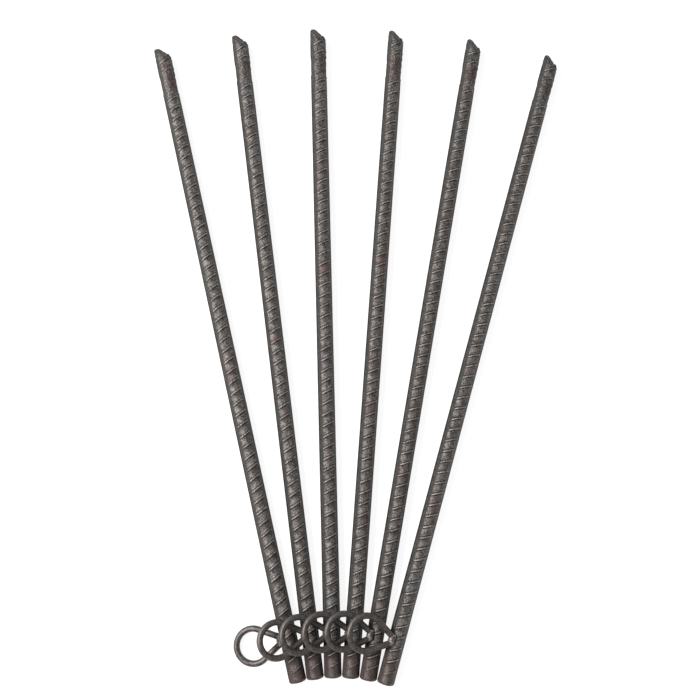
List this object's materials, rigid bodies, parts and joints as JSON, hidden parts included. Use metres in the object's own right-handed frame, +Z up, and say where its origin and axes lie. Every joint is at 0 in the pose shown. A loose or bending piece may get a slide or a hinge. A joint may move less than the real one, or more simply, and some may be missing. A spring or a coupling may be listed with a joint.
{
  "type": "rebar ground stakes",
  "caption": "Fan of ribbed steel rebar stakes lying flat, each with a square-cut head, a sheared point and a teardrop ring of round wire welded to its side near the head.",
  "frame": {"origin": "centre of the bottom of the bounding box, on the floor the stakes lie on", "axes": "+Z up, square to the floor; +Y along the middle of the fan from the heads to the points; +X to the right, away from the side the rings are on"},
  "size_m": [0.2936, 0.4612, 0.0228],
  "materials": {
    "bar_steel": "matte",
    "ring_wire": "matte",
    "weld_bead": "matte"
  },
  "bodies": {
    "root": {"stake_1_bar": "bar_steel", "stake_1_ring": "ring_wire", "stake_1_weld": "weld_bead", "stake_2_bar": "bar_steel", "stake_2_ring": "ring_wire", "stake_2_weld": "weld_bead", "stake_3_bar": "bar_steel", "stake_3_ring": "ring_wire", "stake_3_weld": "weld_bead", "stake_4_bar": "bar_steel", "stake_4_ring": "ring_wire", "stake_4_weld": "weld_bead", "stake_5_bar": "bar_steel", "stake_5_ring": "ring_wire", "stake_5_weld": "weld_bead", "stake_6_bar": "bar_steel", "stake_6_ring": "ring_wire", "stake_6_weld": "weld_bead"}
  },
  "joints": []
}
